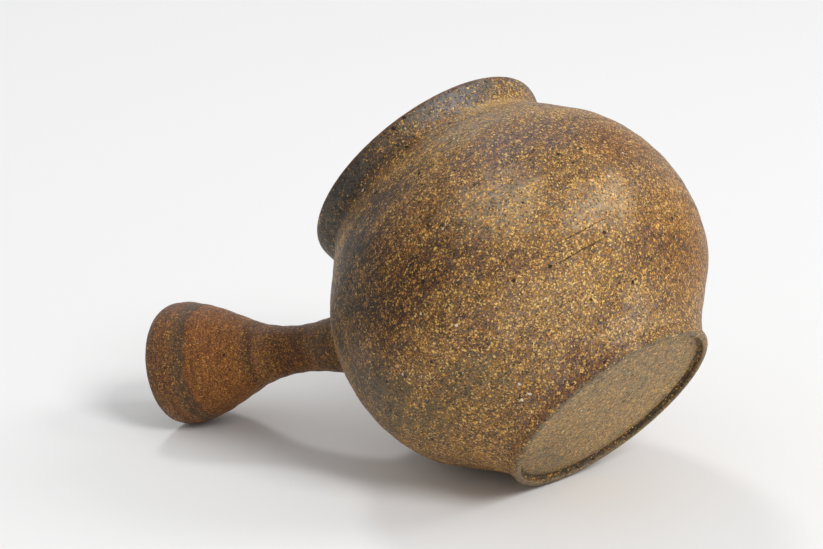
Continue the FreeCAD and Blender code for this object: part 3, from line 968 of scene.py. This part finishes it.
def floor_finish():
    """A pale matt floor. The camera sees through it from below."""
    material = bpy.data.materials.new("pale_floor")
    bench = cleared(material)
    paint = bench.put("ShaderNodeBsdfPrincipled", {"Base Color": floor_white, "Roughness": 0.9})
    clear = bench.put("ShaderNodeBsdfTransparent")
    under = bench.put("ShaderNodeNewGeometry").outputs["Backfacing"]
    camera_ray = bench.put("ShaderNodeLightPath").outputs["Is Camera Ray"]
    mixed = bench.put("ShaderNodeMixShader", {
        0: bench.times(under, camera_ray), 1: paint.outputs[0], 2: clear.outputs[0]})
    bench.put("ShaderNodeOutputMaterial", {"Surface": mixed.outputs[0]})
    return material


# The camera, and the floor that the pot lies on, as the photo has them. The pot itself stands upright here.
camera_right = Vector((-0.702904, -0.447498, -0.552876))
camera_up = Vector((-0.664253, 0.135030, 0.735211))
camera_back = Vector((-0.254350, 0.884032, -0.392165))
camera_place = Vector((-135.39, 545.82, -174.09))
lens = 97.71
floor_tilt = math.radians(16.73)
pot_middle = Vector((0, 0, 40))
floor_drop = 48.99
floor_up = (camera_up * math.cos(floor_tilt) + camera_back * math.sin(floor_tilt)).normalized()
floor_near = (camera_back * math.cos(floor_tilt) - camera_up * math.sin(floor_tilt)).normalized()
floor_middle = pot_middle - floor_up * floor_drop


def photo_camera():
    data = bpy.data.cameras.new("photo_camera")
    data.sensor_width = 36
    data.lens = lens
    data.clip_start, data.clip_end = 0.02, 60
    turn = Matrix((camera_right, camera_up, camera_back)).transposed().to_4x4()
    bpy.context.scene.camera = placed("photo_camera", data, Matrix.Translation(camera_place * MM) @ turn)


def pale_floor():
    mesh = bpy.data.meshes.new("pale_floor")
    shaped = bmesh.new()
    bmesh.ops.create_circle(shaped, cap_ends=True, segments=128, radius=6)
    shaped.to_mesh(mesh)
    shaped.free()
    mesh.materials.append(floor_finish())
    turn = Matrix((camera_right, floor_near * -1, floor_up)).transposed().to_4x4()
    floor = placed("pale_floor", mesh, Matrix.Translation(floor_middle * MM) @ turn)


def soft_lamp(name, bearing, height, far, size, power):
    """A softbox aimed at the pot. Bearing is in degrees from the photo's right, plus is away."""
    data = bpy.data.lights.new(name, "AREA")
    data.shape = "DISK"
    data.size = size
    data.energy = power
    middle = pot_middle * MM
    round_pot, rise = math.radians(bearing), math.radians(height)
    level = camera_right * math.cos(round_pot) - floor_near * math.sin(round_pot)
    place = middle + (level * math.cos(rise) + floor_up * math.sin(rise)) * far
    aim = (middle - place).to_track_quat("-Z", "Y").to_matrix().to_4x4()
    placed(name, data, Matrix.Translation(place) @ aim)


def studio_air(strength):
    """Even light from all round, and white where the camera, gloss or glass looks past the floor."""
    world = bpy.data.worlds.new("studio_air")
    bpy.context.scene.world = world
    bench = cleared(world)
    path = bench.put("ShaderNodeLightPath").outputs
    looked = path["Is Camera Ray"]
    for ray in ("Is Glossy Ray", "Is Transmission Ray"):
        looked = bench.calc("MAXIMUM", looked, path[ray])
    even = bench.put("ShaderNodeBackground", {"Color": (1, 1, 1, 1), "Strength": strength})
    white = bench.put("ShaderNodeBackground", {"Color": (1, 1, 1, 1), "Strength": 1.0})
    mixed = bench.put("ShaderNodeMixShader", {0: looked, 1: even.outputs[0], 2: white.outputs[0]})
    bench.put("ShaderNodeOutputWorld", {"Surface": mixed.outputs[0]})


photo_camera()
pale_floor()
studio_air(0.5)
soft_lamp("front_softbox", bearing=-50, height=42, far=2.6, size=1.0, power=33.0)
soft_lamp("right_softbox", bearing=0, height=40, far=2.6, size=0.9, power=13.0)
soft_lamp("back_softbox", bearing=110, height=52, far=2.6, size=0.5, power=11.0)
bpy.context.scene.view_settings.view_transform = "Standard"

# Multipliers over clay and grains: kiln smoke and fire colour, and in places painted shade on the side turned
# from the lamps and painted highlight where the lamps fall
plain, dim, smoked_and_shaded, sooted = (1, 1, 1), (0.62, 0.64, 0.64), (0.7, 0.64, 0.57), (0.88, 0.95, 1.0)
belly_spots = [
    # centre, reach, ragged edge, clay, how strong, change in gold grains, smoke and painted light and shade
    # over clay and grains
    # Darker upper side turned from the lamps: smoke, and painted shade
    ((12, 49, 48), (38, 30, 28), 0.8, umber_clay, 0.95, -0.1, smoked_and_shaded),
    # Limb turned from the lamps: dark clay, and painted shade
    ((28, 41, 60), (26, 24, 22), 0.7, coal_clay, 0.95, -0.26, dim),
    ((40, 34, 36), (18, 24, 24), 0.7, grey_clay, 0.8, -0.28, (0.9, 0.9, 0.9)),
    ((36, 36, 22), (20, 22, 18), 0.9, olive_clay, 0.8, -0.24, (1.12, 1.06, 0.98)),
    ((12, 42, 16), (16, 16, 9), 1.2, olive_clay, 0.8, -0.22, plain),
    ((-22, 47, 46), (22, 16, 14), 0.8, beige_clay, 0.55, -0.05, (1.2, 1.2, 1.2)),
    # Beige patch brightened: greyer clay, and a painted highlight where the front lamp glances
    ((-38, 34, 32), (20, 16, 12), 0.9, beige_clay, 0.9, -0.2, (1.25, 1.16, 1.04)),
    # Golder, darker side facing the right lamp: fire colour, and painted shade that takes back lamp light
    ((-46, 6, 20), (22, 28, 22), 0.8, brown_clay, 0.5, 0.1, (0.88, 0.74, 0.52)),
    ((-50, 16, 48), (14, 18, 14), 0.8, edge_clay, 0.5, 0.0, (0.96, 0.86, 0.74)),
    ((-16, 44, 16), (36, 24, 17), 0.9, honey_clay, 0.35, 0.22, (1.02, 1.08, 1.22)),
    ((-28, 26, 6), (26, 20, 9), 0.8, honey_clay, 0.7, 0.2, (0.98, 1.06, 1.3)),
    ((-36, 36, 58), (24, 22, 10), 0.9, purple_clay, 0.9, -0.16, (1.02, 1.08, 1.2)),
    ((-26, 31, 73), (24, 22, 8), 0.7, beige_clay, 0.5, -0.05, (0.96, 0.98, 1.04)),
    ((-30, 20, 79), (26, 20, 3.6), 0.4, honey_clay, 0.85, 0.3, (1.2, 1.25, 1.2)),
    ((6, 44, 70), (26, 18, 10), 0.8, coal_clay, 0.6, -0.2, (0.76, 0.75, 0.74)),
    ((28, 22, 84), (18, 20, 14), 0.5, grey_clay, 0.95, -0.3, sooted),
    ((6, 36, 86), (24, 20, 12), 0.5, coal_clay, 0.85, -0.28, (0.84, 0.78, 0.74)),
    ((13, 33, 85), (14, 15, 9), 0.4, coal_clay, 0.5, -0.1, (0.66, 0.74, 0.84)),
    ((-24, 27, 85), (18, 18, 8), 0.5, slate_clay, 0.9, -0.26, (1.05, 1.1, 1.2)),
    # Darker low end of the foot's face: painted shade
    ((26, 4, 1), (20, 30, 4), 0.5, olive_clay, 0.3, -0.05, (0.84, 0.84, 0.84)),
    ((-8, -50, 42), (30, 26, 24), 0.8, umber_clay, 0.8, -0.24, smoked_and_shaded),
    ((44, -26, 34), (24, 24, 28), 0.8, grey_clay, 0.6, -0.2, dim),
]
collar_bands = [
    # height, half width, clay, how strong, change in gold grains
    (85.3, 3.6, grey_clay, 0.6, -0.3),
    (88.3, 1.7, edge_clay, 0.9, -0.3),
    (2.4, 0.8, edge_clay, 0.6, -0.05),
]
handle_bands = [
    # station along the axis, half width, clay, how strong, change in gold grains
    (96.0, 18.0, orange_clay, 0.95, 0.05),
    (112.0, 6.5, rust_clay, 0.8, -0.2),
    (105.2, 3.0, band_clay, 0.9, -0.25),
    (115.4, 1.8, umber_clay, 0.8, -0.1),
    (86.8, 2.4, umber_clay, 0.75, -0.1),
    (75.0, 11.0, neck_clay, 0.9, -0.14),
    (58.0, 12.0, root_clay, 0.9, -0.1),
]

pot_finish = stoneware("fired_pot", spots=belly_spots, bands=collar_bands, gold=0.58, rust=0.35, foot=True)
handle_finish = stoneware(
    "fired_handle", bands=handle_bands, gold=0.42, rust=0.75, grit=0.66, sweep=1.3, pale=0.35,
    axes=handle_axes)
small_finish = stoneware("fired_small_parts", gold=0.5, rust=0.45, grit=0.85)

for piece, body, node, finish in (
    (thrown_pot(), "pot", "pot_body", pot_finish),
    (trumpet_handle(), "pot", "handle", handle_finish),
    (tapered_spout(), "pot", "spout", small_finish),
    (luting_band("handle_luting", handle_axes, handle_radii[0] * handle_end_radius, 51),
     "pot", "handle_luting_coil", small_finish),
    (luting_band("spout_luting", spout_axes, spout_root_radius, 55),
     "pot", "spout_luting_coil", small_finish),
    (turned_lid(), "lid", "lid", small_finish),
    (turned_knob(), "lid", "lid_knob", small_finish),
):
    piece.data.materials.clear()
    piece.data.materials.append(finish)
    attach(piece, body)
    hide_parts(node)

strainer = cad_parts["strainer"]
strainer.data.materials.clear()
strainer.data.materials.append(small_finish)
